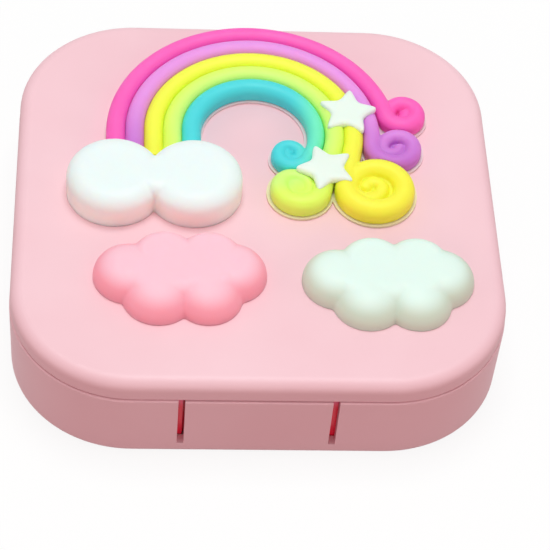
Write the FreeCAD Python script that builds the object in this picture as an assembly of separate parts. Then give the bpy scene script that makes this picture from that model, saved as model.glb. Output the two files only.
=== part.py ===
import FreeCAD, Part
import math
import os

# A hinged keepsake box for milk teeth: a shallow rounded-square case with a press
# latch in its front wall, a tray of sockets inside and a raised rainbow on the lid.
# Millimetres. The origin is under the middle of the case, the front faces -Y and up is +Z.

# Case
case_width = 84.0
case_depth = 84.0
corner_radius = 20.8
base_height = 14.0
base_floor = 1.6
wall = 1.8
lid_gap = 0.15
lid_step = 0.2
lid_height = 4.1
lid_top = 1.6
bottom_edge = 1.0
lid_edge = 2.1
rim_edge = 0.3

# Hinge: the pin lies inside the rear wall and below the rim
hinge_inset = 2.1
hinge_drop = 5.2
pin_radius = 0.8
pin_clearance = 0.06
pin_end_gap = 0.2
barrel_radius = 1.9
arm_thickness = 2.0
lug_width = 22.0
lug_clearance = 0.3
ear_width = 1.6
ear_wall = 1.6
pocket_wall = 1.6
pocket_depth = 6.0
notch_clearance = 0.7
relief_clearance = 0.1

# Press latch: a tongue of the front wall between two slits, with a hook for the lid
latch_x = -0.45
tongue_width = 24.2
slit_width = 1.15
tongue_root = 2.5
tongue_drop = 0.1
hook_width = 9.2
hook_thickness = 1.65
hook_foot = 4.4
hook_headroom = 0.55
hook_side_gap = 0.6
barb_reach = 0.7
barb_lip = 0.25
catch_height = 0.9
catch_depth_gap = 0.3
latch_clearance = 0.15
press_travel = 1.3

# Lid liner
liner_clearance = 0.15
liner_recess = 0.2
liner_thickness = 1.4
post_radius = 3.0
post_inset = 18.0

# Tooth tray
tray_clearance = 0.2
tray_drop = 0.3
tray_deck = 1.6
tray_skirt = 1.4
tray_bay_gap = 0.3
socket_wall = 1.3
socket_depth = 8.0
socket_bottom = 1.5
socket_mouth = 0.4
tooth_radius = 4.0
molar_radius = 4.75
tooth_pitch = 10.0
upper_row_inset = 19.2
lower_row_inset = 12.5
molar_column_inset = 11.0
upper_molar_step = 8.8
lower_molar_step = 5.1
molars_a_side = 4
canine_step = 6.3
upper_canine_rise = 1.8
lower_canine_drop = 4.1

# Rainbow on the lid: five half-round bands on a pale backing, each ending in a curl
arch_centre_x = -0.3
arch_centre_y = 12.5
inner_band_radius = 11.1
band_width = 3.3
band_gap = 0.06
band_side = 1.25
backing_height = 0.5
backing_rim = 0.4
glue_line = 0.05
band_tail = 7.0

# White cloud at the left end of the rainbow
white_cloud_y = 0.05
white_lobe_left = -24.7
white_lobe_right = -10.9
white_lobe_radius = 8.3
white_cloud_height = 6.0
white_cloud_edge = 2.6
white_saddle_x = -17.4
white_saddle_y = -0.9
white_saddle_radius = 4.6
white_saddle_edge = 2.0

# Stars on the bands
star_points = 5
star_radius = 6.1
star_waist = 3.0
star_tip = 0.6
star_edge = 0.55
star_seat = 2.3
star_height = 1.9
upper_star_x = 16.5
upper_star_y = 16.65
upper_star_turn = 82.7
lower_star_x = 12.0
lower_star_y = 3.1
lower_star_turn = 110.0

# Pink and mint clouds along the front of the lid
cloud_height = 4.0
cloud_edge = 3.0
cloud_core_radius = 6.3
cloud_core_pitch = 4.5
pink_cloud_x = -13.4
pink_cloud_y = -20.2
mint_cloud_x = 21.7
mint_cloud_y = -20.8

# Shared heights and places
up = FreeCAD.Vector(0.0, 0.0, 1.0)
left_to_right = FreeCAD.Vector(1.0, 0.0, 0.0)
flat = 1e-4
reach = 2.0
half_width = case_width / 2.0
half_depth = case_depth / 2.0
lid_bottom = base_height + lid_gap
lid_face = lid_bottom + lid_height
lid_ceiling = lid_face - lid_top
hinge_y = half_depth - hinge_inset
hinge_z = base_height - hinge_drop
notch_half = lug_width / 2.0 + lug_clearance
notch_floor = hinge_z - barrel_radius - notch_clearance
pocket_half = notch_half + ear_width
pocket_front = half_depth - pocket_depth
pocket_outer_half = pocket_half + pocket_wall
window_half = tongue_width / 2.0 + slit_width
tongue_back = -half_depth + wall
hook_back = tongue_back + latch_clearance + hook_thickness
hook_top = lid_ceiling - hook_headroom
barb_low = lid_bottom + catch_height + latch_clearance
hook_bay_half = hook_width / 2.0 + hook_side_gap
hook_bay_back = hook_back + press_travel
tray_top = base_height - tray_drop
band_half = (band_width - band_gap) / 2.0
band_seat = backing_height + glue_line


def box(left, right, front, back, low, high):
    corner = FreeCAD.Vector(left, front, low)
    return Part.makeBox(right - left, back - front, high - low, corner)


def latch_box(half, front, back, low, high):
    """Block centred on the latch."""
    return box(latch_x - half, latch_x + half, front, back, low, high)


def upright(x, y, low, radius, height):
    """Round post standing on a height."""
    return Part.makeCylinder(radius, height, FreeCAD.Vector(x, y, low), up)


def across(half_length, radius):
    """Round bar from left to right on the hinge axis."""
    start = FreeCAD.Vector(-half_length, hinge_y, hinge_z)
    return Part.makeCylinder(radius, 2.0 * half_length, start, left_to_right)


def edges_at(shape, height):
    """Edges that lie flat at one height."""
    found = []
    for edge in shape.Edges:
        if abs(edge.BoundBox.ZMin - height) < flat and abs(edge.BoundBox.ZMax - height) < flat:
            found.append(edge)
    return found


def upright_edges(shape):
    """Straight edges that run up and down."""
    found = []
    for edge in shape.Edges:
        if edge.BoundBox.XLength < flat and edge.BoundBox.YLength < flat:
            found.append(edge)
    return found


def case_block(inset, low, high):
    """The rounded square of the case, moved in from its outer face."""
    block = box(-half_width + inset, half_width - inset, -half_depth + inset, half_depth - inset, low, high)
    return block.makeFillet(corner_radius - inset, upright_edges(block))


# Lower casing
def make_base_shell():
    shell = case_block(0.0, 0.0, base_height)
    shell = shell.makeFillet(bottom_edge, edges_at(shell, 0.0))
    shell = shell.makeFillet(rim_edge, edges_at(shell, base_height))
    shell = shell.cut(case_block(wall, base_floor, base_height + reach))

    # Pocket for the hinge arm, with an ear at each end for the pin
    rear_inside = half_depth - wall
    pocket = box(-pocket_outer_half, pocket_outer_half, pocket_front - pocket_wall, rear_inside,
                 base_floor, base_height)
    bay = box(-pocket_half, pocket_half, pocket_front, rear_inside, base_floor, base_height)
    shell = shell.fuse(pocket.cut(bay))
    ear_top = hinge_z + pin_radius + ear_wall
    for side in (-1.0, 1.0):
        inner = min(side * notch_half, side * pocket_half)
        outer = max(side * notch_half, side * pocket_half)
        shell = shell.fuse(box(inner, outer, pocket_front, rear_inside, base_floor, ear_top))
    shell = shell.cut(box(-notch_half, notch_half, rear_inside - wall, half_depth + reach,
                          notch_floor, base_height + reach))
    shell = shell.cut(across(pocket_outer_half, pin_radius))

    # The rear rim is rounded about the pin, so that the lid's edge can turn over it
    relief = box(-half_width - reach, half_width + reach, hinge_y, half_depth + reach,
                 hinge_z + hinge_drop / 2.0, base_height + reach)
    shell = shell.cut(relief.cut(across(half_width + reach, hinge_drop - relief_clearance)))

    # Window for the press tongue and its two slits
    window = latch_box(window_half, -half_depth - reach, tongue_back, tongue_root, base_height + reach)
    return shell.cut(window).removeSplitter()


# Press latch
def make_latch_tongue():
    tongue_half = tongue_width / 2.0
    hook_half = hook_width / 2.0
    tongue_top = base_height - tongue_drop
    panel = latch_box(tongue_half, -half_depth, tongue_back, tongue_root, tongue_top)
    outer_top = []
    for edge in edges_at(panel, tongue_top):
        if edge.BoundBox.YMax < -half_depth + flat:
            outer_top.append(edge)
    panel = panel.makeFillet(rim_edge, outer_top)
    foot = latch_box(hook_half, tongue_back, hook_back, tongue_top - hook_foot, tongue_top)
    stem_front = tongue_back + latch_clearance
    stem = latch_box(hook_half, stem_front, hook_back, tongue_top, hook_top)
    barb_front = stem_front - barb_reach
    hook_left = latch_x - hook_half
    barb_outline = Part.makePolygon([
        FreeCAD.Vector(hook_left, stem_front, barb_low),
        FreeCAD.Vector(hook_left, barb_front, barb_low),
        FreeCAD.Vector(hook_left, barb_front, barb_low + barb_lip),
        FreeCAD.Vector(hook_left, stem_front, hook_top),
        FreeCAD.Vector(hook_left, stem_front, barb_low),
    ])
    barb = Part.Face(barb_outline).extrude(left_to_right * hook_width)
    return panel.multiFuse([foot, stem, barb]).removeSplitter()


# Steel hinge pin
def make_hinge_pin():
    return across(pocket_outer_half - pin_end_gap, pin_radius)


# Tooth tray
def tray_block(inset, low, high):
    """Tray outline with its bays for the latch and the hinge pocket, moved in by an inset."""
    block = case_block(wall + tray_clearance + inset, low, high)
    front = -half_depth - reach
    latch_half = tongue_width / 2.0 + tray_bay_gap + inset
    latch_back = tongue_back + press_travel + inset
    latch_bay = latch_box(latch_half, front, latch_back, low - reach, high + reach)
    hook_bay = latch_box(hook_bay_half + inset, front, hook_bay_back + inset, low - reach, high + reach)
    pocket_side = pocket_outer_half + tray_bay_gap + inset
    pocket_bay = box(-pocket_side, pocket_side, pocket_front - pocket_wall - tray_bay_gap - inset,
                     half_depth + reach, low - reach, high + reach)
    return block.cut(latch_bay).cut(hook_bay).cut(pocket_bay)


def socket_places():
    """Centre and radius of each tooth socket, the upper jaw to the rear."""
    upper_y = half_depth - upper_row_inset
    lower_y = -half_depth + lower_row_inset
    column_x = half_width - molar_column_inset
    column_top = upper_y - upper_molar_step
    column_pitch = (column_top - lower_y - lower_molar_step) / (molars_a_side - 1)
    places = []
    for side in (-1.0, 1.0):
        for row_y in (upper_y, lower_y):
            places.append((side * tooth_pitch * 0.5, row_y, tooth_radius))
            places.append((side * tooth_pitch * 1.5, row_y, tooth_radius))
        canine_x = side * (column_x - canine_step)
        places.append((canine_x, upper_y + upper_canine_rise, tooth_radius))
        places.append((canine_x, lower_y - lower_canine_drop, tooth_radius))
        for number in range(molars_a_side):
            places.append((side * column_x, column_top - number * column_pitch, molar_radius))
    return places


def make_tooth_tray():
    tray = tray_block(0.0, base_floor, tray_top)
    tray = tray.cut(tray_block(tray_skirt, base_floor, tray_top - tray_deck))
    cups = []
    hollows = []
    for x, y, radius in socket_places():
        cup_low = tray_top - socket_depth - socket_wall
        cup_top = tray_top - tray_deck / 2.0
        cups.append(upright(x, y, cup_low, radius + socket_wall, cup_top - cup_low))
        hollow_low = tray_top - socket_depth
        hollow = upright(x, y, hollow_low, radius, socket_depth + reach)
        hollow = hollow.makeFillet(socket_bottom, edges_at(hollow, hollow_low))
        mouth_place = FreeCAD.Vector(x, y, tray_top - socket_mouth)
        mouth = Part.makeCone(radius, radius + 2.0 * socket_mouth, 2.0 * socket_mouth, mouth_place, up)
        hollows.append(hollow.fuse(mouth))
    tray = tray.multiFuse(cups)
    for hollow in hollows:
        tray = tray.cut(hollow)
    return tray.removeSplitter()


# Lid casing: its side stands back a little, so that it never overhangs the base
def make_lid_shell():
    shell = case_block(lid_step, lid_bottom, lid_face)
    shell = shell.makeFillet(lid_edge, edges_at(shell, lid_face))
    shell = shell.makeFillet(rim_edge, edges_at(shell, lid_bottom))
    shell = shell.cut(case_block(wall, lid_bottom - reach, lid_ceiling))
    # Recess behind the front rim, whose lower edge is the catch for the barb
    catch_front = tongue_back + latch_clearance - barb_reach - catch_depth_gap
    shell = shell.cut(latch_box(hook_bay_half, catch_front, tongue_back + reach,
                                lid_bottom + catch_height, lid_ceiling))
    return shell.removeSplitter()


# Lid liner with the hinge arm
def make_lid_liner():
    low = lid_bottom + liner_recess
    high = low + liner_thickness
    inset = wall + liner_clearance
    liner = case_block(inset, low, high)
    liner = liner.cut(latch_box(hook_bay_half, -half_depth, hook_bay_back, low - reach, high + reach))
    posts = []
    for side_x in (-1.0, 1.0):
        for side_y in (-1.0, 1.0):
            post_x = side_x * (half_width - post_inset)
            post_y = side_y * (half_depth - post_inset)
            posts.append(upright(post_x, post_y, high, post_radius, lid_ceiling - high))
    lug_half = lug_width / 2.0
    arm_front = hinge_y - barrel_radius
    arm = box(-lug_half, lug_half, arm_front, arm_front + arm_thickness, hinge_z, low)
    barrel = across(lug_half, barrel_radius)
    liner = liner.multiFuse(posts + [arm, barrel])
    return liner.cut(across(lug_half + reach, pin_radius + pin_clearance)).removeSplitter()


# Rainbow
def heading_vector(heading):
    angle = math.radians(heading)
    return FreeCAD.Vector(math.cos(angle), math.sin(angle), 0.0)


def band_section(place, left, half):
    """Half-round section of a band, standing on the backing."""
    low = place + up * band_seat
    spring = low + up * band_side
    side = left * half
    sides = Part.makePolygon([spring - side, low - side, low + side, spring + side])
    crown = Part.Arc(spring + side, spring + up * half, spring - side).toShape()
    return Part.Face(Part.Wire(sides.Edges + [crown]))


def band_tip(place, half):
    """Domed end of a band."""
    post = upright(place.x, place.y, place.z + band_seat, half, band_side)
    dome = Part.makeSphere(half, place + up * (band_seat + band_side))
    return post.fuse(dome)


def backing_section(place, left, half):
    edge = left * (half + backing_rim)
    rise = up * backing_height
    corners = [place - edge, place + edge, place + edge + rise, place - edge + rise]
    return Part.Face(Part.makePolygon(corners + [corners[0]]))


def walk(start, heading, moves):
    """Follow straight runs and arcs, and give each one's place, heading and arc centre."""
    place = start
    steps = []
    for half, radius, amount in moves:
        ahead = heading_vector(heading)
        left = heading_vector(heading + 90.0)
        if radius is None:
            steps.append((half, radius, amount, place, heading, None))
            place = place + ahead * amount
        else:
            centre = place + left * math.copysign(radius, amount)
            steps.append((half, radius, amount, place, heading, centre))
            place = centre + FreeCAD.Rotation(up, amount).multVec(place - centre)
            heading = heading + amount
    return steps, place


def carry(section, step):
    """Carry a section along one run or arc."""
    half, radius, amount, place, heading, centre = step
    face = section(place, heading_vector(heading + 90.0), half)
    if radius is None:
        return face.extrude(heading_vector(heading) * amount)
    return face.revolve(centre, up, amount)


# Each band from the outside in: where it leaves the arch, in degrees above the arch's centre,
# and the way its curl turns. Then, in band widths, its straight run from there, and the radius
# and half width of each half turn of the curl
band_curls = (
    ("pink", 11.5, 1.0, 0.0, ((0.86, 0.48), (0.76, 0.46), (0.46, 0.36))),
    ("lilac", -6.0, 1.0, 0.0, ((1.13, 0.45), (0.84, 0.42), (0.46, 0.35))),
    ("yellow", -11.5, 1.0, 2.48, ((1.56, 0.6), (1.44, 0.54), (0.86, 0.44), (0.45, 0.36))),
    ("lime", -14.2, -1.0, 3.18, ((1.12, 0.54), (0.78, 0.42), (0.4, 0.34))),
    ("cyan", -36.0, -1.0, 0.0, ((0.79, 0.42), (0.55, 0.37))),
)


def band_walk(number):
    """Route of one band: up from under the cloud, over the arch and into its curl."""
    leave, turn, run, curl = band_curls[number][1:]
    radius = inner_band_radius + (len(band_curls) - 1 - number) * band_width
    start = FreeCAD.Vector(arch_centre_x - radius, arch_centre_y - band_tail, lid_face)
    moves = [(band_half, None, band_tail), (band_half, radius, leave - 180.0)]
    if run > 0.0:
        moves.append((band_half, None, run * band_width))
    for curl_radius, curl_half in curl:
        moves.append((curl_half * band_width, curl_radius * band_width, turn * 180.0))
    return walk(start, 90.0, moves)


def make_band(number):
    steps, end = band_walk(number)
    pieces = []
    for step in steps:
        pieces.append(carry(band_section, step))
    pieces.append(band_tip(end, steps[-1][0]))
    return pieces[0].multiFuse(pieces[1:])


def make_backing():
    """One plate under all the bands, a little wider than they are and whole under each curl."""
    plates = []
    for number in range(len(band_curls)):
        for step in band_walk(number)[0]:
            half, radius = step[:2]
            centre = step[-1]
            if radius is None or radius > inner_band_radius - flat:
                plates.append(carry(backing_section, step))
            else:
                disc_radius = radius + half + backing_rim
                plates.append(upright(centre.x, centre.y, lid_face, disc_radius, backing_height))
    return plates[0].multiFuse(plates[1:])


def puck(x, y, radius, height, edge):
    """Rounded disc of a cloud, standing on the lid."""
    disc = upright(x, y, lid_face, radius, height)
    return disc.makeFillet(edge, edges_at(disc, lid_face + height))


def make_white_cloud():
    """Two lobes, and between them a saddle that keeps the top flat."""
    lobes = []
    for x in (white_lobe_left, white_lobe_right):
        lobes.append(puck(x, white_cloud_y, white_lobe_radius, white_cloud_height, white_cloud_edge))
    saddle = puck(white_saddle_x, white_saddle_y, white_saddle_radius, white_cloud_height, white_saddle_edge)
    return lobes[0].multiFuse([lobes[1], saddle]).removeSplitter()


def make_star(x, y, turn):
    middle = FreeCAD.Vector(x, y, lid_face + star_seat)
    half_step = 180.0 / star_points
    points = []
    for number in range(star_points):
        heading = turn + number * 2.0 * half_step
        points.append(middle + heading_vector(heading) * star_radius)
        points.append(middle + heading_vector(heading + half_step) * star_waist)
    star = Part.Face(Part.makePolygon(points + [points[0]])).extrude(up * star_height)
    tips = []
    for edge in upright_edges(star):
        if math.hypot(edge.BoundBox.XMin - x, edge.BoundBox.YMin - y) > (star_radius + star_waist) / 2.0:
            tips.append(edge)
    star = star.makeFillet(star_tip, tips)
    return star.makeFillet(star_edge, edges_at(star, lid_face + star_seat + star_height))


# Lobes of the two like clouds: place from the cloud's middle, and radius
cloud_lobes = (
    (-8.7, 1.0, 6.0),
    (8.6, 1.3, 6.0),
    (-2.7, 3.3, 6.0),
    (4.9, 3.3, 6.0),
    (-3.7, -3.2, 6.2),
    (4.6, -3.5, 5.8),
)


def make_cloud(x, y):
    lobes = []
    for lobe_x, lobe_y, lobe_radius in cloud_lobes:
        lobes.append(puck(x + lobe_x, y + lobe_y, lobe_radius, cloud_height, cloud_edge))
    for core_x in (x - cloud_core_pitch, x, x + cloud_core_pitch):
        lobes.append(puck(core_x, y, cloud_core_radius, cloud_height, cloud_edge))
    return lobes[0].multiFuse(lobes[1:]).removeSplitter()


def make_rainbow():
    """Backing, bands, white cloud and stars, each cut to fit round the ones over it."""
    white_cloud = make_white_cloud()
    upper_star = make_star(upper_star_x, upper_star_y, upper_star_turn)
    lower_star = make_star(lower_star_x, lower_star_y, lower_star_turn)
    bands = {}
    for number, band in enumerate(band_curls):
        bands[band[0]] = make_band(number)
    for behind, front in (("pink", "lilac"), ("lilac", "yellow"), ("cyan", "lime"), ("lime", "yellow")):
        bands[behind] = bands[behind].cut(bands[front])
    pieces = {"rainbow_cloud": white_cloud, "upper_star": upper_star, "lower_star": lower_star}
    for colour, band in bands.items():
        band = band.cut(white_cloud).cut(upper_star).cut(lower_star)
        pieces["rainbow_band_" + colour] = band.removeSplitter()
    pieces["rainbow_backing"] = make_backing().cut(white_cloud).removeSplitter()
    return pieces


nodes = {
    "base_shell": make_base_shell(),
    "latch_tongue": make_latch_tongue(),
    "hinge_pin": make_hinge_pin(),
    "tooth_tray": make_tooth_tray(),
    "lid_shell": make_lid_shell(),
    "lid_liner": make_lid_liner(),
    "pink_cloud": make_cloud(pink_cloud_x, pink_cloud_y),
    "mint_cloud": make_cloud(mint_cloud_x, mint_cloud_y),
}
nodes.update(make_rainbow())

os.makedirs("parts", exist_ok=True)
for name, shape in nodes.items():
    shape.exportStep(os.path.join("parts", name + ".step"))
    print(name, len(shape.Solids), "solid", round(shape.Volume, 1), "mm3", shape.isValid())
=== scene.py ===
# %% [markdown]
# # A keepsake box for milk teeth
# The real box is a shallow rounded-square case in pale pink plastic, about 84 mm across. A raised rainbow
# with a white cloud at its foot, two stars and two more clouds are stuck on its lid, and inside is a tray
# with a socket for each milk tooth. The CAD model is loaded first and never moved. Its moulded shells
# already have the right shape, so they only get a better material here. The soft pieces on the lid are
# modelled again, because a CAD solid is too crisp for them.

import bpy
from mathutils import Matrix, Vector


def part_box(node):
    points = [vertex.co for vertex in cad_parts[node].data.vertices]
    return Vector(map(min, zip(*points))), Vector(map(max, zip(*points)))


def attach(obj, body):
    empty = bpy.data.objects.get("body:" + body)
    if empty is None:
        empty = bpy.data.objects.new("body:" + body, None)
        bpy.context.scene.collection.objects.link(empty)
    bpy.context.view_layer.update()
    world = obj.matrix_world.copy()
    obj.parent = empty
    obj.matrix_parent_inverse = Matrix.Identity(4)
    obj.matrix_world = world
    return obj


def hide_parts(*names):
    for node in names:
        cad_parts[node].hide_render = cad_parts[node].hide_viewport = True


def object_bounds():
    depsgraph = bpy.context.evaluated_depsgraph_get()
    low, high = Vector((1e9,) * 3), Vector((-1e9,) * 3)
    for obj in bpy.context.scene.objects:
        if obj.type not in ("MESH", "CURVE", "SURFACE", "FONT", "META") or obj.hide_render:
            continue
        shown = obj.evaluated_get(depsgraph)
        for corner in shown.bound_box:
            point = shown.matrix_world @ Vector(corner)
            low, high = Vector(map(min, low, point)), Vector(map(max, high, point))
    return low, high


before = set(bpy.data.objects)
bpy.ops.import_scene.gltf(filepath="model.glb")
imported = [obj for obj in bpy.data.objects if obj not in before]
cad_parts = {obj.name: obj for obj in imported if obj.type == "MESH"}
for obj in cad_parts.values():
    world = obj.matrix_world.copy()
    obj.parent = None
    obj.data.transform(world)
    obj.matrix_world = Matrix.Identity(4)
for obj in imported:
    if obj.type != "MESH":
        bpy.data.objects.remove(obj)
cad_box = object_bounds()

# %% [markdown]
# ## Units and small helpers
# Blender works in metres and the box is small, so sizes are written in millimetres times MM.
# A finished piece is a bmesh that becomes an object at the origin, with its place in its mesh, so a
# pattern on Object coordinates stays where it is when the model is exported.

# %% Units and the helper that finishes a piece
import math

import bmesh
import bpy
from mathutils import Matrix, Vector

MM = 0.001
UP = Vector((0.0, 0.0, 1.0))
sharp_angle = math.radians(50.0)
weld_distance = 0.001 * MM


def finish_mesh(mesh):
    """Smooth shading everywhere but over real edges."""
    mesh.shade_smooth()
    mesh.set_sharp_from_angle(angle=sharp_angle)


def make_piece(bm, name):
    """Close up a bmesh, turn its faces outwards and hang it in the scene."""
    bmesh.ops.remove_doubles(bm, verts=bm.verts, dist=weld_distance)
    bmesh.ops.recalc_face_normals(bm, faces=bm.faces)
    mesh = bpy.data.meshes.new(name)
    bm.to_mesh(mesh)
    bm.free()
    finish_mesh(mesh)
    piece = bpy.data.objects.new(name, mesh)
    bpy.context.scene.collection.objects.link(piece)
    return piece


# %% [markdown]
# ## Colours and nodes
# A colour picked from a screen is an sRGB hex value, but shaders count in linear light, so one function
# turns the first into the second. Another adds a node, with its settings, its numbers and its links.

# %% Colour and node helpers
def linear(hex_value):
    """An sRGB hex colour as the linear RGBA that a shader reads."""
    channels = [int(hex_value[i:i + 2], 16) / 255.0 for i in (1, 3, 5)]
    return tuple(c / 12.92 if c <= 0.04045 else ((c + 0.055) / 1.055) ** 2.4 for c in channels) + (1.0,)


def add_node(tree, kind, inputs=(), **settings):
    """Add a node: its settings first, then each input as a number, a colour or a link."""
    made = tree.nodes.new(kind)
    for name, value in settings.items():
        setattr(made, name, value)
    for name, value in dict(inputs).items():
        if isinstance(name, int):
            socket = made.inputs[name]
        else:
            socket = next(s for s in made.inputs if s.name == name and s.enabled)
        if isinstance(value, bpy.types.Node):
            value = next(s for s in value.outputs if s.enabled)
        if isinstance(value, bpy.types.NodeSocket):
            tree.links.new(value, socket)
        else:
            socket.default_value = value
    return made


def start_material(name):
    """A new material with nothing in it, and its node tree."""
    material = bpy.data.materials.new(name)
    material.use_nodes = True
    material.node_tree.nodes.clear()
    return material, material.node_tree


# %% [markdown]
# ## Camera
# The photograph was taken from above the front edge, a little to the left, with the camera tilted by
# about six degrees. These angles came from matching the outline of the case, the line where it opens and
# its two slits in the picture.

# %% Camera
image_width = 550
sensor_width = 36.0
focal_pixels = 2141.8
camera_azimuth = math.radians(-6.461)
camera_elevation = math.radians(50.255)
camera_roll = math.radians(5.846)
camera_distance = 361.13 * MM
camera_target = Vector((2.556, -18.375, 18.244)) * MM

level = math.cos(camera_elevation)
back = Vector((math.sin(camera_azimuth) * level, -math.cos(camera_azimuth) * level, 0.0))
back.z = math.sin(camera_elevation)
right = Vector((math.cos(camera_azimuth), math.sin(camera_azimuth), 0.0))
over = back.cross(right)
tilted_right = right * math.cos(camera_roll) + over * math.sin(camera_roll)
tilted_over = over * math.cos(camera_roll) - right * math.sin(camera_roll)
camera_matrix = Matrix((tilted_right, tilted_over, back)).transposed().to_4x4()
camera_matrix.translation = camera_target + back * camera_distance

lens = bpy.data.cameras.new("camera")
lens.sensor_width = sensor_width
lens.lens = focal_pixels * sensor_width / image_width
lens.clip_start = 10.0 * MM
camera = bpy.data.objects.new("camera", lens)
camera.matrix_world = camera_matrix
bpy.context.scene.collection.objects.link(camera)
bpy.context.scene.camera = camera
print("lens", round(lens.lens, 1), "mm")

# %% [markdown]
# ## Studio
# The background of the photograph is plain white. A floor that was lit until it turned white would also
# bleach the box, so the floor is a quiet rose for the light that bounces, and only the camera, mirrors
# and clear pieces see it white. Part of what they see is still the lit floor, which keeps the shadow.
# One large soft lamp hangs above and a little behind the box, so its front wall is in soft shade. A weak
# one in front lights what lies in the two slits, and two at the sides lift the corners. The world gives
# the rest.

# %% Floor, world and lamps
bpy.context.scene.view_settings.view_transform = "Standard"
floor_size = 3.0
floor_bounce = linear("#8E6262")
floor_glow = 0.88
world_light = 0.50


def seen_directly(tree):
    """1 for rays from the camera, off a mirror or through glass, and 0 for the rest."""
    path = add_node(tree, "ShaderNodeLightPath")
    seen = path.outputs["Is Camera Ray"]
    for ray in ("Is Glossy Ray", "Is Transmission Ray"):
        seen = add_node(tree, "ShaderNodeMath", {0: seen, 1: path.outputs[ray]}, operation="MAXIMUM")
    return seen


floor_material, tree = start_material("studio_floor")
bounce = add_node(tree, "ShaderNodeBsdfDiffuse", {"Color": floor_bounce})
paper = add_node(tree, "ShaderNodeBsdfDiffuse", {"Color": linear("#FAFAFA")})
glow = add_node(tree, "ShaderNodeEmission", {"Color": linear("#FFFFFF"), "Strength": 1.0})
bright = add_node(tree, "ShaderNodeMixShader", {"Fac": floor_glow, 1: paper, 2: glow})
floor_mix = add_node(tree, "ShaderNodeMixShader", {"Fac": seen_directly(tree), 1: bounce, 2: bright})
add_node(tree, "ShaderNodeOutputMaterial", {"Surface": floor_mix})

bm = bmesh.new()
bmesh.ops.create_grid(bm, x_segments=1, y_segments=1, size=floor_size)
floor = make_piece(bm, "studio_floor")
floor.data.materials.append(floor_material)

world = bpy.data.worlds.new("studio")
world.use_nodes = True
world.node_tree.nodes.clear()
bpy.context.scene.world = world
tree = world.node_tree
soft = add_node(tree, "ShaderNodeBackground", {"Color": linear("#FFEFEC"), "Strength": world_light})
white = add_node(tree, "ShaderNodeBackground", {"Color": linear("#FFFFFF"), "Strength": 1.0})
world_mix = add_node(tree, "ShaderNodeMixShader", {"Fac": seen_directly(tree), 1: soft, 2: white})
add_node(tree, "ShaderNodeOutputWorld", {"Surface": world_mix})


def hang_lamp(name, place, size, power, colour):
    """A square soft lamp that looks at the middle of the lid."""
    light = bpy.data.lights.new(name, "AREA")
    light.size = size
    light.energy = power
    light.color = linear(colour)[:3]
    lamp = bpy.data.objects.new(name, light)
    lamp.location = place
    lamp.rotation_euler = (Vector(place) - UP * cad_box[1].z).to_track_quat("Z", "Y").to_euler()
    bpy.context.scene.collection.objects.link(lamp)


# Place and size in metres, power in watts, and tint
hang_lamp("top_softbox", (0.0, 0.09, 0.60), 0.26, 2.02, "#F0FFFF")
hang_lamp("front_fill", (0.0, -0.60, 0.17), 0.25, 0.5, "#FFCCC4")
hang_lamp("left_fill", (-0.50, -0.20, 0.18), 0.30, 0.35, "#FFE6E2")
hang_lamp("right_fill", (0.50, -0.20, 0.18), 0.30, 0.35, "#FFE6E2")

# %% [markdown]
# ## Moulded plastic
# The case is injection-moulded ABS. The mould was spark-eroded, which leaves an even, fine matte grain,
# and the colour drifts very slightly where the plastic flowed. Real grain of this kind is finer than a
# pixel here, so it is drawn a third of a millimetre wide, where it only just shows. The insert is
# polypropylene from a smoother mould. It is a strong pink that lets light in, and deep in a socket, where
# the light has been through it more than once, it looks red. That red is painted shade: a fade deepens the
# colour to red below the deck.

# %% Moulded plastic
plastic_ior = 1.53
grain_size = 0.35 * MM
grain_depth = 0.012 * MM
grain_spread = 0.06
flow_size = 26.0 * MM
flow_low = 0.35
flow_high = 0.65


def along(axis, start, end):
    """A fade from start to end along one axis of the box."""
    def fade(tree, place):
        parts = add_node(tree, "ShaderNodeSeparateXYZ", {"Vector": place})
        return add_node(tree, "ShaderNodeMapRange", {
            "Value": parts.outputs[axis], "From Min": start, "From Max": end},
            interpolation_type="SMOOTHSTEP")
    return fade


def flow_drift(tree, place):
    """The slow change of colour where the plastic flowed."""
    flow = add_node(tree, "ShaderNodeTexNoise", {"Vector": place, "Scale": 1.0 / flow_size, "Detail": 3.0})
    return add_node(tree, "ShaderNodeMapRange", {
        "Value": flow.outputs["Fac"], "From Min": flow_low, "From Max": flow_high})


def moulded_plastic(name, colour, second_colour, roughness, grain, fade=flow_drift):
    """Plastic from a mould: two shades, and a fine grain that breaks up the shine."""
    material, tree = start_material(name)
    place = add_node(tree, "ShaderNodeTexCoord").outputs["Object"]
    base = add_node(tree, "ShaderNodeMix", {
        "Factor": fade(tree, place), "A": linear(colour), "B": linear(second_colour)}, data_type="RGBA")
    speckle = add_node(tree, "ShaderNodeTexNoise", {
        "Vector": place, "Scale": 1.0 / grain_size, "Detail": 2.0})
    rough = add_node(tree, "ShaderNodeMapRange", {
        "Value": speckle.outputs["Fac"],
        "To Min": roughness - grain_spread, "To Max": roughness + grain_spread})
    bump = add_node(tree, "ShaderNodeBump", {
        "Height": speckle.outputs["Fac"], "Distance": grain_depth, "Strength": grain})
    shader = add_node(tree, "ShaderNodeBsdfPrincipled", {
        "Base Color": base, "Roughness": rough, "Normal": bump, "IOR": plastic_ior})
    add_node(tree, "ShaderNodeOutputMaterial", {"Surface": shader})
    return material


def dress(node, material):
    """Give a CAD node its material."""
    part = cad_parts[node]
    part.data.materials.clear()
    part.data.materials.append(material)
    print(node, "in", material.name)
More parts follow.
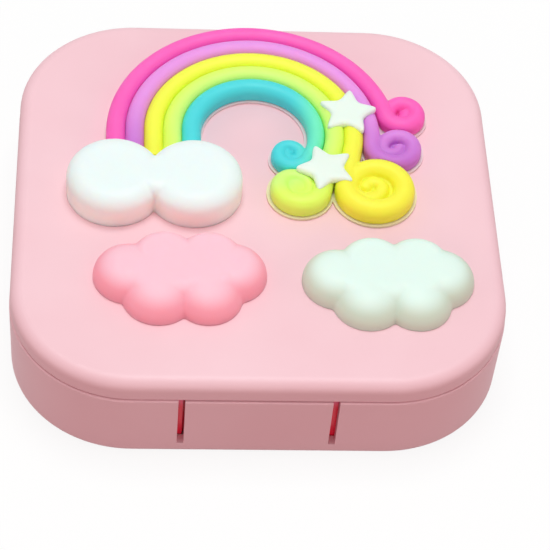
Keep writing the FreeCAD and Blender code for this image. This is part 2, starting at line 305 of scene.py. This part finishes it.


# Depths below the deck at which the painted shade starts, and at which it is fully red
pink_depth = 0.5 * MM
painted_red_depth = 4.0 * MM
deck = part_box("tooth_tray")[1].z
# Painted shade: below the deck the insert's colour deepens to red, standing in for light that bounced
# inside the sockets
painted_shade_below_deck = along("Z", deck - pink_depth, deck - painted_red_depth)
case_abs = moulded_plastic("moulded_abs_pale_pink", "#F1C9D2", "#EEC3CC", roughness=0.5, grain=0.5)
insert_pp = moulded_plastic("moulded_polypropylene_hot_pink", "#FB86B4", "#FF2450", roughness=0.32,
                            grain=0.25, fade=painted_shade_below_deck)
for shell in ("base_shell", "lid_shell", "latch_tongue"):
    dress(shell, case_abs)
for insert in ("tooth_tray", "lid_liner"):
    dress(insert, insert_pp)

# %% [markdown]
# ## Drawn steel
# The hinge pin is a piece of drawn steel wire. Drawing leaves fine scratches along its length, so the
# pattern is stretched that way. They are drawn wider than real ones, or they would not show.

# %% Hinge pin
scratch_width = 0.08 * MM
scratch_length = 4.0 * MM
polished = 0.22
scratched = 0.42

drawn_steel, tree = start_material("drawn_steel_wire")
place = add_node(tree, "ShaderNodeTexCoord").outputs["Object"]
stretch = add_node(tree, "ShaderNodeMapping", {
    "Vector": place, "Scale": (scratch_width / scratch_length, 1.0, 1.0)})
scratches = add_node(tree, "ShaderNodeTexNoise", {
    "Vector": stretch, "Scale": 1.0 / scratch_width, "Detail": 2.0})
shine = add_node(tree, "ShaderNodeMapRange", {
    "Value": scratches.outputs["Fac"], "To Min": polished, "To Max": scratched})
steel = add_node(tree, "ShaderNodeBsdfPrincipled", {
    "Base Color": linear("#C6C5C2"), "Metallic": 1.0, "Roughness": shine})
add_node(tree, "ShaderNodeOutputMaterial", {"Surface": steel})
dress("hinge_pin", drawn_steel)

# %% [markdown]
# ## Cast resin
# The rainbow and the clouds are cast in resin: coloured right through, satin, and slightly see-through, so
# light that enters at one side of a ridge softens the shade on the other. Subsurface scattering does that.
# Where two colours were poured next to each other they run together, so a band can fade from one colour
# to another along a direction that is given as a node.

# %% Cast resin
resin_ior = 1.52
resin_grain = 0.6 * MM
resin_grain_depth = 0.01 * MM
resin_grain_strength = 0.4
resin_patches = 6.0 * MM
resin_spread = 0.08
resin_scatter = 2.0 * MM
# Red light goes deepest into the resin, then green, then blue
scatter_shares = (1.0, 0.7, 0.6)


def cast_resin(name, colour, second_colour, fade=None, scatter=0.5, roughness=0.55):
    """Cast resin. fade makes the node that goes from the first colour at 0 to the second at 1."""
    material, tree = start_material(name)
    place = add_node(tree, "ShaderNodeTexCoord").outputs["Object"]
    speckle = add_node(tree, "ShaderNodeTexNoise", {
        "Vector": place, "Scale": 1.0 / resin_grain, "Detail": 2.0})
    patches = add_node(tree, "ShaderNodeTexNoise", {
        "Vector": place, "Scale": 1.0 / resin_patches, "Detail": 2.0})
    share = patches.outputs["Fac"] if fade is None else fade(tree, place)
    base = add_node(tree, "ShaderNodeMix", {
        "Factor": share, "A": linear(colour), "B": linear(second_colour)}, data_type="RGBA")
    rough = add_node(tree, "ShaderNodeMapRange", {
        "Value": patches.outputs["Fac"],
        "To Min": roughness - resin_spread, "To Max": roughness + resin_spread})
    bump = add_node(tree, "ShaderNodeBump", {
        "Height": speckle.outputs["Fac"], "Distance": resin_grain_depth, "Strength": resin_grain_strength})
    shader = add_node(tree, "ShaderNodeBsdfPrincipled", {
        "Base Color": base, "Roughness": rough, "Normal": bump, "IOR": resin_ior,
        "Subsurface Weight": scatter, "Subsurface Radius": scatter_shares,
        "Subsurface Scale": resin_scatter})
    add_node(tree, "ShaderNodeOutputMaterial", {"Surface": shader})
    return material


def settle(piece, material, body, *nodes, slot=None):
    """Give a piece its material, let it ride on a body, and let it stand for the CAD nodes it follows."""
    piece.data.materials.clear()
    piece.data.materials.append(material)
    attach(piece, body)
    if nodes:
        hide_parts(*nodes)
    print(piece.name, len(piece.data.polygons), "faces")


# %% [markdown]
# ## Clouds
# Each cloud is a handful of round cushions that have run together. One cushion is a profile spun about
# an upright axis. The cushions overlap, a voxel remesh melts them into one skin, and rounds of smoothing
# soften the creases, as the casting does. They start a little below the lid, so that the smoothing
# doesn't lift their foot, and are then cut off flat where they sit.

# %% Helpers for cushions
lid_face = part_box("pink_cloud")[0].z
cushion_root = 2.0 * MM
cushion_sides = 64
rim_steps = 12
smooth_share = 0.5


def only_verts(geometry):
    return [part for part in geometry if isinstance(part, bmesh.types.BMVert)]


def add_cushion(bm, x, y, radius, height, fall, reach):
    """A round cushion: a flat top, a rim that falls over a reach, and sides that go below the lid."""
    kept = set(bm.verts)
    top = bm.verts.new((x, y, lid_face + height))
    shoulder = bmesh.ops.extrude_vert_indiv(bm, verts=[top])["verts"][0]
    shoulder.co.x += radius - reach
    turned = bmesh.ops.spin(bm, geom=[shoulder], cent=shoulder.co - UP * fall, axis=(0.0, 1.0, 0.0),
                            angle=math.pi / 2.0, steps=rim_steps)
    rim = [v for v in bm.verts if v not in kept and v is not top]
    bmesh.ops.scale(bm, vec=(reach / fall, 1.0, 1.0), space=Matrix.Translation(-shoulder.co), verts=rim)
    foot = bmesh.ops.extrude_vert_indiv(bm, verts=only_verts(turned["geom_last"]))["verts"][0]
    foot.co.z = lid_face - cushion_root
    middle = bmesh.ops.extrude_vert_indiv(bm, verts=[foot])["verts"][0]
    middle.co.x = x
    profile = [v for v in bm.verts if v not in kept]
    lines = [e for e in bm.edges if e.verts[0] not in kept]
    bmesh.ops.spin(bm, geom=profile + lines, cent=(x, y, 0.0), axis=UP, angle=math.tau, steps=cushion_sides,
                   use_merge=True)


def bake_modifiers(piece):
    """Put what the modifiers make into the mesh itself, so that it can be cut further."""
    graph = bpy.context.evaluated_depsgraph_get()
    mesh = bpy.data.meshes.new_from_object(piece.evaluated_get(graph))
    piece.modifiers.clear()
    piece.data = mesh


def melt(piece, voxel, rounds):
    """Fuse what overlaps into one skin and soften it."""
    remesh = piece.modifiers.new("melt", "REMESH")
    remesh.mode = "VOXEL"
    remesh.voxel_size = voxel
    soften = piece.modifiers.new("soften", "SMOOTH")
    soften.factor = smooth_share
    soften.iterations = rounds
    bake_modifiers(piece)


def seat(piece, height):
    """Cut a piece off flat at a height and close its underside."""
    bm = bmesh.new()
    bm.from_mesh(piece.data)
    bmesh.ops.bisect_plane(bm, geom=bm.verts[:] + bm.edges[:] + bm.faces[:], dist=weld_distance,
                           plane_co=UP * height, plane_no=UP, clear_inner=True)
    bmesh.ops.holes_fill(bm, edges=[e for e in bm.edges if e.is_boundary], sides=0)
    bm.to_mesh(piece.data)
    bm.free()
    finish_mesh(piece.data)


print("lid face at", round(lid_face / MM, 2), "mm")

# %% [markdown]
# The two clouds along the front are alike: six lobes round a flat middle. Their lobes are given from the
# cloud's own middle, and the middle comes from the CAD node's box. The lobes in front are the roundest, and
# those at the rear are nearly flat, so each has its own reach for the rim. The creases between lobes are
# shallow and fade out towards the top, which the many rounds of smoothing give. The colour fades from a
# deeper foot to a paler top, which is painted light and shade: the top is where the light falls.

# %% Pink and mint clouds
cloud_voxel = 0.22 * MM
cloud_rounds = 16
cloud_fall = 3.6
front_reach = 5.75
side_reach = 4.4
rear_reach = 2.6
core_reach = 3.6
core_radius = 6.3
core_pitch = 4.5
# Place from the cloud's middle, radius and reach of the rim, in millimetres
cloud_lobes = (
    (-8.7, 1.0, 6.0, side_reach),
    (8.6, 1.3, 6.0, side_reach),
    (-2.7, 3.3, 6.0, rear_reach),
    (4.9, 3.3, 6.0, rear_reach),
    (-3.7, -3.2, 6.2, front_reach),
    (4.6, -3.5, 5.8, front_reach),
    (-core_pitch, 0.0, core_radius, core_reach),
    (0.0, 0.0, core_radius, core_reach),
    (core_pitch, 0.0, core_radius, core_reach),
)


def make_cloud(name, node):
    """A cloud whose lobes start at the left and front of the CAD node's box."""
    low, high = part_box(node)
    height = high.z - lid_face
    middle_x = low.x - min(x - radius for x, y, radius, reach in cloud_lobes) * MM
    middle_y = low.y - min(y - radius for x, y, radius, reach in cloud_lobes) * MM
    bm = bmesh.new()
    for x, y, radius, reach in cloud_lobes:
        lobe_x = middle_x + x * MM
        lobe_y = middle_y + y * MM
        add_cushion(bm, lobe_x, lobe_y, radius * MM, height, cloud_fall * MM, reach * MM)
    cloud = make_piece(bm, name)
    melt(cloud, cloud_voxel, cloud_rounds)
    seat(cloud, lid_face)
    return cloud


# Painted light and shade: each cloud is deeper in colour at the foot and paler on top, where the light
# falls
fade_start = 2.2 * MM
fade_end = 4.1 * MM
painted_foot_shade = along("Z", lid_face + fade_start, lid_face + fade_end)
pink_resin = cast_resin("cast_resin_candy_pink", "#FFA2B3", "#FFC6D5", painted_foot_shade, scatter=0.7)
mint_resin = cast_resin("cast_resin_mint", "#CCDAC8", "#E0F6ED", painted_foot_shade)
settle(make_cloud("candy_cloud", "pink_cloud"), pink_resin, "lid", "pink_cloud", slot="pink_resin")
settle(make_cloud("pale_mint_cloud", "mint_cloud"), mint_resin, "lid", "mint_cloud", slot="mint_resin")

# %% [markdown]
# The white cloud is taller and has two lobes with a clear crease between them at the front, so it gets
# fewer rounds of smoothing. Its lobes fill the CAD node's box from end to end. A third, smaller cushion
# between them keeps the top flat, so that the crease fades out before it reaches the middle.

# %% White cloud
white_rounds = 8
white_fall = 2.6 * MM
white_reach = 3.2 * MM
saddle_right = 0.4 * MM
saddle_forward = 0.4 * MM
saddle_radius = 4.4 * MM
saddle_fall = 2.0 * MM
white_fade_start = 1.5 * MM
white_fade_end = 5.5 * MM

low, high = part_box("rainbow_cloud")
middle = (low + high) / 2.0
lobe_radius = middle.y - low.y
white_height = high.z - lid_face
bm = bmesh.new()
for lobe_x in (low.x + lobe_radius, high.x - lobe_radius):
    add_cushion(bm, lobe_x, middle.y, lobe_radius, white_height, white_fall, white_reach)
saddle_x = middle.x + saddle_right
saddle_y = middle.y - saddle_forward
add_cushion(bm, saddle_x, saddle_y, saddle_radius, white_height, saddle_fall, saddle_fall)
white_cloud = make_piece(bm, "white_cloud")
melt(white_cloud, cloud_voxel, white_rounds)
seat(white_cloud, lid_face)
# Painted shade and bounce light: the white cloud is warm at the foot, where the pink lid lights it, and
# paler on top
white_painted_shade = along("Z", lid_face + white_fade_start, lid_face + white_fade_end)
white_resin = cast_resin("cast_resin_white", "#FFFCF0", "#E8F6F5", white_painted_shade, scatter=0.8)
settle(white_cloud, white_resin, "lid", "rainbow_cloud", slot="white_resin")

# %% [markdown]
# ## Rainbow bands
# Each of the five bands is a half-round strip. It comes out from under the white cloud, goes over the
# arch and ends in a curl. One section is spun from step to step, which lets the strip taper as it goes.
# The arch's centre comes from the outer band's box. In the casting the strips run together at their feet,
# so that the valley between two of them is shallow. The CAD strips stand a hair apart, so these are made
# slightly wider.

# %% The bands' route
band_width = 3.3 * MM
cad_band_half = 1.62 * MM
band_half = 1.76 * MM
band_side = 1.25 * MM
band_tail = 7.0 * MM
inner_band_radius = 11.1 * MM
band_names = ("pink", "lilac", "yellow", "lime", "cyan")
outer_radius = inner_band_radius + (len(band_names) - 1) * band_width
outer_low, outer_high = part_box("rainbow_band_pink")
outer_edge = outer_radius + cad_band_half
arch = Vector((outer_low.x + outer_edge, outer_high.y - outer_edge, outer_low.z))

# Where each band leaves the arch, in degrees above its centre, and the way its curl turns. Then, in
# band widths, its straight run, and the radius and half width of each half turn of the curl
band_curls = {
    "pink": (11.5, 1.0, 0.0, ((0.86, 0.48), (0.76, 0.46), (0.46, 0.36))),
    "lilac": (-6.0, 1.0, 0.0, ((1.13, 0.45), (0.84, 0.42), (0.46, 0.35))),
    "yellow": (-11.5, 1.0, 2.48, ((1.56, 0.6), (1.44, 0.54), (0.86, 0.44), (0.45, 0.36))),
    "lime": (-14.2, -1.0, 3.18, ((1.12, 0.54), (0.78, 0.42), (0.4, 0.34))),
    "cyan": (-36.0, -1.0, 0.0, ((0.79, 0.42), (0.55, 0.37), (0.34, 0.32))),
}


def band_moves(name):
    """The band's runs and arcs as (length, bend, half width), where bend is one over the radius."""
    leave, turn, run, curl = band_curls[name]
    radius = outer_radius - band_names.index(name) * band_width
    moves = [(band_tail, 0.0, band_half), (radius * math.radians(180.0 - leave), -1.0 / radius, band_half)]
    if run:
        moves.append((run * band_width, 0.0, band_half))
    for curl_radius, curl_half in curl:
        turn_radius = curl_radius * band_width
        moves.append((math.pi * turn_radius, turn / turn_radius, curl_half * band_width))
    return Vector((arch.x - radius, arch.y - band_tail, arch.z)), moves


print("arch centre", [round(c / MM, 2) for c in arch])

# %% [markdown]
# The section is drawn once, with a spin for its crown. Each step then spins it a little about the centre
# of the bend, or shifts it along a straight, and scales it where the strip changes width. A last few
# steps shrink it to a round tip. Resin also ran into the eye of each curl, so a low disc fills that.

# %% Sweep a band
section_steps = 14
step_length = 0.6 * MM
step_angle = math.radians(9.0)
tip_steps = 6
tip_turn = math.radians(84.0)
# Radius and height in millimetres of what fills the eye of each curl
curl_eyes = {
    "pink": (2.4, 0.6),
    "lilac": (2.6, 0.6),
    "yellow": (4.4, 1.1),
    "lime": (3.2, 1.8),
    "cyan": (2.0, 1.0),
}


def half_at(moves, distance):
    """Half width after a distance: it eases from the middle of one move to the middle of the next."""
    marks = [(0.0, moves[0][2])]
    gone = 0.0
    for length, bend, half in moves:
        marks.append((gone + length / 2.0, half))
        gone += length
    for (start, first), (end, second) in zip(marks, marks[1:]):
        if distance <= end:
            return first + (second - first) * (distance - start) / (end - start)
    return marks[-1][1]


def draw_section(bm, place, ahead, half):
    """A foot, two short sides and a round crown across the way ahead."""
    side = ahead.cross(UP) * half
    foot = bm.verts.new(place + side)
    spring = bmesh.ops.extrude_vert_indiv(bm, verts=[foot])["verts"][0]
    spring.co += UP * band_side
    crown = bmesh.ops.spin(bm, geom=[spring], cent=place + UP * band_side, axis=ahead, angle=-math.pi,
                           steps=section_steps)
    other = bmesh.ops.extrude_vert_indiv(bm, verts=only_verts(crown["geom_last"]))["verts"][0]
    other.co = place - side
    bm.edges.new((other, foot))
    return bm.verts[:] + bm.edges[:]


def advance(bm, ring, place, ahead, step, bend, grow):
    """Carry the section one step on, and give it, its place and its heading there."""
    centre = place
    shift = ahead * step
    if bend:
        centre = place + UP.cross(ahead) / bend
        shift = Vector()
    spun = bmesh.ops.spin(bm, geom=ring, cent=centre, axis=UP, dvec=shift, angle=step * bend, steps=1)
    ring = spun["geom_last"]
    turned = Matrix.Rotation(step * bend, 3, "Z")
    place = centre + turned @ (place - centre) + shift
    bmesh.ops.scale(bm, vec=(grow, grow, grow), space=Matrix.Translation(-place), verts=only_verts(ring))
    return ring, place, turned @ ahead


def sweep_band(name):
    """Sweep one band from under the white cloud to its tip, and fill the eye of its curl."""
    place, moves = band_moves(name)
    ahead = Vector((0.0, 1.0, 0.0))
    bm = bmesh.new()
    ring = draw_section(bm, place, ahead, band_half)
    gone = 0.0
    for length, bend, half in moves:
        if bend:
            eye = place + UP.cross(ahead) / bend
        steps = math.ceil(max(length / step_length, length * abs(bend) / step_angle))
        for number in range(steps):
            step = length / steps
            grow = half_at(moves, gone + step) / half_at(moves, gone)
            ring, place, ahead = advance(bm, ring, place, ahead, step, bend, grow)
            gone += step
    angles = [tip_turn * number / tip_steps for number in range(tip_steps + 1)]
    tip_half = moves[-1][2]
    for before, after in zip(angles, angles[1:]):
        step = tip_half * (math.sin(after) - math.sin(before))
        ring, place, ahead = advance(bm, ring, place, ahead, step, 0.0, math.cos(after) / math.cos(before))
    bmesh.ops.holes_fill(bm, edges=[e for e in bm.edges if e.is_boundary], sides=0)
    radius, height = (size * MM for size in curl_eyes[name])
    bmesh.ops.create_cone(bm, cap_ends=True, segments=cushion_sides, radius1=radius, radius2=radius,
                          depth=height, matrix=Matrix.Translation(eye + UP * height / 2.0))
    return make_piece(bm, "band_" + name)


bands = {name: sweep_band(name) for name in band_names}
print({name: len(band.data.vertices) for name, band in bands.items()})

# %% [markdown]
# Where two curls meet, one lies in front and the other was cast up against it. A Boolean modifier takes
# the front one out of the one behind. The bands are then melted like the clouds, which also fuses the
# turns of each curl, and softened a little.

# %% Fit the curls against each other
band_voxel = 0.16 * MM
band_rounds = 3


def cut_away(piece, front):
    """Take the piece in front out of the one behind it."""
    cut = piece.modifiers.new("cut", "BOOLEAN")
    cut.operation = "DIFFERENCE"
    cut.solver = "EXACT"
    cut.use_self = True
    cut.object = front
    bake_modifiers(piece)


for behind, front in (("pink", "lilac"), ("lilac", "yellow"), ("cyan", "lime"), ("lime", "yellow")):
    cut_away(bands[behind], bands[front])
for band in bands.values():
    melt(band, band_voxel, band_rounds)
    finish_mesh(band.data)
print("melted", len(bands), "bands")

# %% [markdown]
# The colours are bright and close to fluorescent. Magenta, lilac and yellow are nearly plain. Lime was
# poured while the bands beside it were wet, so it fades from yellow at its outer side to green at its
# inner side, and cyan turns to aqua down its right leg.

# %% Band colours
def across_band(name):
    """A fade from the outer side of a band to its inner side, by distance from the arch's centre."""
    radius = outer_radius - band_names.index(name) * band_width

    def fade(tree, place):
        flat = add_node(tree, "ShaderNodeVectorMath", {0: place, 1: (1.0, 1.0, 0.0)}, operation="MULTIPLY")
        centre = (arch.x, arch.y, 0.0)
        away = add_node(tree, "ShaderNodeVectorMath", {0: flat, 1: centre}, operation="DISTANCE")
        return add_node(tree, "ShaderNodeMapRange", {
            "Value": away.outputs["Value"], "From Min": radius + band_half, "From Max": radius - band_half},
            interpolation_type="SMOOTHSTEP")
    return fade


lilac_fade = along("Y", 2.0 * MM, 22.0 * MM)
yellow_fade = along("Y", -2.0 * MM, 20.0 * MM)
cyan_fade = along("X", 6.0 * MM, 12.0 * MM)
band_finishes = {
    "pink": cast_resin("cast_resin_magenta", "#FC61BF", "#FC59BA"),
    "lilac": cast_resin("cast_resin_lilac", "#C06ACE", "#E494E4", lilac_fade),
    "yellow": cast_resin("cast_resin_yellow", "#F6F13C", "#F1F942", yellow_fade),
    "lime": cast_resin("cast_resin_lime", "#DCFF60", "#D0FF7C", across_band("lime")),
    "cyan": cast_resin("cast_resin_cyan", "#42D6DD", "#70ECBC", cyan_fade),
}
band_slots = {"pink": "magenta_resin"}
for name, band in bands.items():
    slot = band_slots.get(name, name + "_resin")
    settle(band, band_finishes[name], "lid", "rainbow_band_" + name, slot=slot)

# %% [markdown]
# ## Stars
# Two white stars sit on the bands. A star is a ten-sided disc with every other corner drawn in. Its
# points are rounded, it is pulled up, and then it is melted like the clouds, which softens its rim.

# %% Stars
star_points = 5
star_radius = 6.2 * MM
star_waist = 3.0 * MM
star_tip = 1.2 * MM
tip_segments = 4
star_voxel = 0.14 * MM
star_rounds = 240
# Middle in millimetres, and the heading of the first point in degrees
star_places = {
    "upper_star": (16.5, 16.65, 82.7),
    "lower_star": (12.0, 3.1, 110.0),
}


def make_star(node, x, y, turn):
    """A soft star as high as the CAD node it stands for."""
    low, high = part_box(node)
    bm = bmesh.new()
    disc = bmesh.ops.create_circle(bm, cap_ends=True, radius=star_radius, segments=2 * star_points)
    corners = disc["verts"]
    for corner in corners[1::2]:
        corner.co *= star_waist / star_radius
    first = math.atan2(corners[0].co.y, corners[0].co.x)
    place = Matrix.Translation((x * MM, y * MM, low.z))
    heading = Matrix.Rotation(math.radians(turn) - first, 4, "Z")
    bmesh.ops.transform(bm, matrix=place @ heading, verts=bm.verts)
    tips = corners[0::2]
    bmesh.ops.bevel(bm, geom=tips, offset=star_tip, offset_type="OFFSET", affect="VERTICES",
                    segments=tip_segments, profile=0.5, material=-1)
    top = bmesh.ops.extrude_face_region(bm, geom=bm.faces[:])["geom"]
    bmesh.ops.translate(bm, vec=UP * (high.z - low.z), verts=only_verts(top))
    star = make_piece(bm, "white_" + node)
    melt(star, star_voxel, star_rounds)
    finish_mesh(star.data)
    return star


star_resin = cast_resin("cast_resin_star_white", "#EAF7EE", "#E4F4E8")
for node, (x, y, turn) in star_places.items():
    settle(make_star(node, x, y, turn), star_resin, "lid", node, slot="white_resin")

# %% [markdown]
# ## Backing
# The bands were cast on a thin milky sheet that shows as a pale rim all round them, and takes a tint from
# the yellow above it near the front curls. The CAD plate has that shape, so it only needs a finish.

# %% Backing sheet
milky_fade = along("Y", 2.0 * MM, 7.0 * MM)
milky_resin = cast_resin("cast_resin_milky", "#F3DFB4", "#F4D3D6", milky_fade)
dress("rainbow_backing", milky_resin)

# %% [markdown]
# ## Print
# Inside, the tray's deck carries thin brackets that join the sockets of one kind of tooth. The liner under
# the lid carries a chart with a pair of brackets for each tooth, and rules to write on. Ink from a soft pad
# lies as a very thin film. A pen draws it here: the nib is one short edge, and the helper that carries a
# band's section along carries the nib too.

# %% Helpers for the print
ink_line = 0.32 * MM
ink_film = 0.03 * MM
ink_sunk = 0.02 * MM
turn_step = 12.0
dot_radius = 0.4 * MM
dot_sides = 16


def draw_stroke(bm, level, x, y, heading, moves):
    """Draw from a point, heading so many degrees. Each move is a length and the turn made over it."""
    place = Vector((x * MM, y * MM, level))
    ahead = Vector((math.cos(math.radians(heading)), math.sin(math.radians(heading)), 0.0))
    side = ahead.cross(UP) * ink_line / 2.0
    ends = [bm.verts.new(place + side), bm.verts.new(place - side)]
    nib = ends + [bm.edges.new(ends)]
    for length, turn in moves:
        steps = 1 + round(abs(turn) / turn_step)
        bend = math.radians(turn) / (length * MM)
        for number in range(steps):
            nib, place, ahead = advance(bm, nib, place, ahead, length * MM / steps, bend, 1.0)


def press_on(bm, name, body, out):
    """Give the drawn film its thickness, from just inside the plastic to just outside."""
    bmesh.ops.translate(bm, vec=UP * out * -ink_sunk, verts=bm.verts)
    film = bmesh.ops.extrude_face_region(bm, geom=bm.faces[:])["geom"]
    bmesh.ops.translate(bm, vec=UP * out * (ink_sunk + ink_film), verts=only_verts(film))
    settle(make_piece(bm, name), pad_ink, body)


pad_ink, tree = start_material("pad_print_ink")
place = add_node(tree, "ShaderNodeTexCoord").outputs["Object"]
patches = add_node(tree, "ShaderNodeTexNoise", {"Vector": place, "Scale": 1.0 / ink_line, "Detail": 2.0})
tone = add_node(tree, "ShaderNodeMix", {
    "Factor": patches.outputs["Fac"], "A": linear("#3A2430"), "B": linear("#5C3A4A")}, data_type="RGBA")
ink = add_node(tree, "ShaderNodeBsdfPrincipled", {"Base Color": tone, "Roughness": 0.55})
add_node(tree, "ShaderNodeOutputMaterial", {"Surface": ink})
print("ink lines", round(ink_line / MM, 2), "mm wide")

# %% [markdown]
# The tray's marks are the same on both sides, so each is drawn once to the right and once mirrored.

# %% Print on the tray
# Start, heading and moves of each mark on the right half, in millimetres and degrees
tray_marks = (
    (15.2, 16.9, -90.0, ((4.4, 0.0), (0.9, -90.0), (6.5, 0.0))),
    (15.6, -22.8, 90.0, ((3.8, 0.0), (0.9, 90.0), (6.1, 0.0))),
    (21.0, 13.7, -120.7, ((4.1, 0.0), (0.4, 31.4), (8.5, 0.0))),
    (19.8, -7.2, -87.8, ((10.1, 0.0), (0.5, 46.9), (4.7, 0.0))),
    (30.5, 27.3, 45.0, ((3.2, 0.0),)),
    (22.9, -38.0, -145.0, ((1.6, 0.0),)),
)

bm = bmesh.new()
for x, y, heading, moves in tray_marks:
    draw_stroke(bm, deck, x, y, heading, moves)
    draw_stroke(bm, deck, -x, y, 180.0 - heading, [(length, -turn) for length, turn in moves])
press_on(bm, "tray_print", "base", 1.0)

# %% [markdown]
# The chart has four cells along the front and the back edge, and three and three down each side. A cell
# is a left and a right bracket with a dot between them. Its measures are in millimetres.

# %% Print on the liner
liner_recess = 0.2 * MM
liner_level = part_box("lid_shell")[0].z + liner_recess
bracket_height = 5.6
bracket_bow = 0.9
bracket_gap = 0.25
# Where the cells of a row meet, and how far forward or back each row lies
row_marks = (-22.3, -11.0, 1.3, 13.2, 24.6)
row_ys = (-29.5, 32.7)
# The edges of the cells at the sides, and for each how far back it lies and how far it is tucked in
side_inner = 23.6
side_outer = 35.7
side_ys = ((-22.7, 1.8), (-15.9, 0.0), (-7.1, 0.0), (10.7, 0.0), (18.0, 0.0), (25.9, 1.8))
# Start and length of each rule
rules = (
    (1.8, -2.7, 18.1),
    (-23.3, 3.9, 11.0),
    (-7.2, 3.9, 7.0),
    (5.3, 3.9, 7.1),
    (-1.7, 12.3, 14.1),
    (-1.7, 18.9, 14.1),
)
lean = math.degrees(2.0 * math.atan(2.0 * bracket_bow / bracket_height))
bracket_length = bracket_height * math.radians(lean) / math.sin(math.radians(lean))


def draw_cell(bm, left, right, y):
    """A pair of brackets and the dot between them."""
    low = y - bracket_height / 2.0
    draw_stroke(bm, liner_level, left + bracket_bow, low, 90.0 + lean, ((bracket_length, -2.0 * lean),))
    draw_stroke(bm, liner_level, right - bracket_bow, low, 90.0 - lean, ((bracket_length, 2.0 * lean),))
    spot = Matrix.Translation(((left + right) / 2.0 * MM, y * MM, liner_level))
    bmesh.ops.create_circle(bm, cap_ends=True, radius=dot_radius, segments=dot_sides, matrix=spot)


bm = bmesh.new()
for y in row_ys:
    for left, right in zip(row_marks, row_marks[1:]):
        draw_cell(bm, left + bracket_gap, right - bracket_gap, y)
for y, tuck in side_ys:
    draw_cell(bm, tuck - side_outer, tuck - side_inner, y)
    draw_cell(bm, side_inner - tuck, side_outer - tuck, y)
for x, y, length in rules:
    draw_stroke(bm, liner_level, x, y, 0.0, ((length, 0.0),))
press_on(bm, "liner_print", "lid", -1.0)
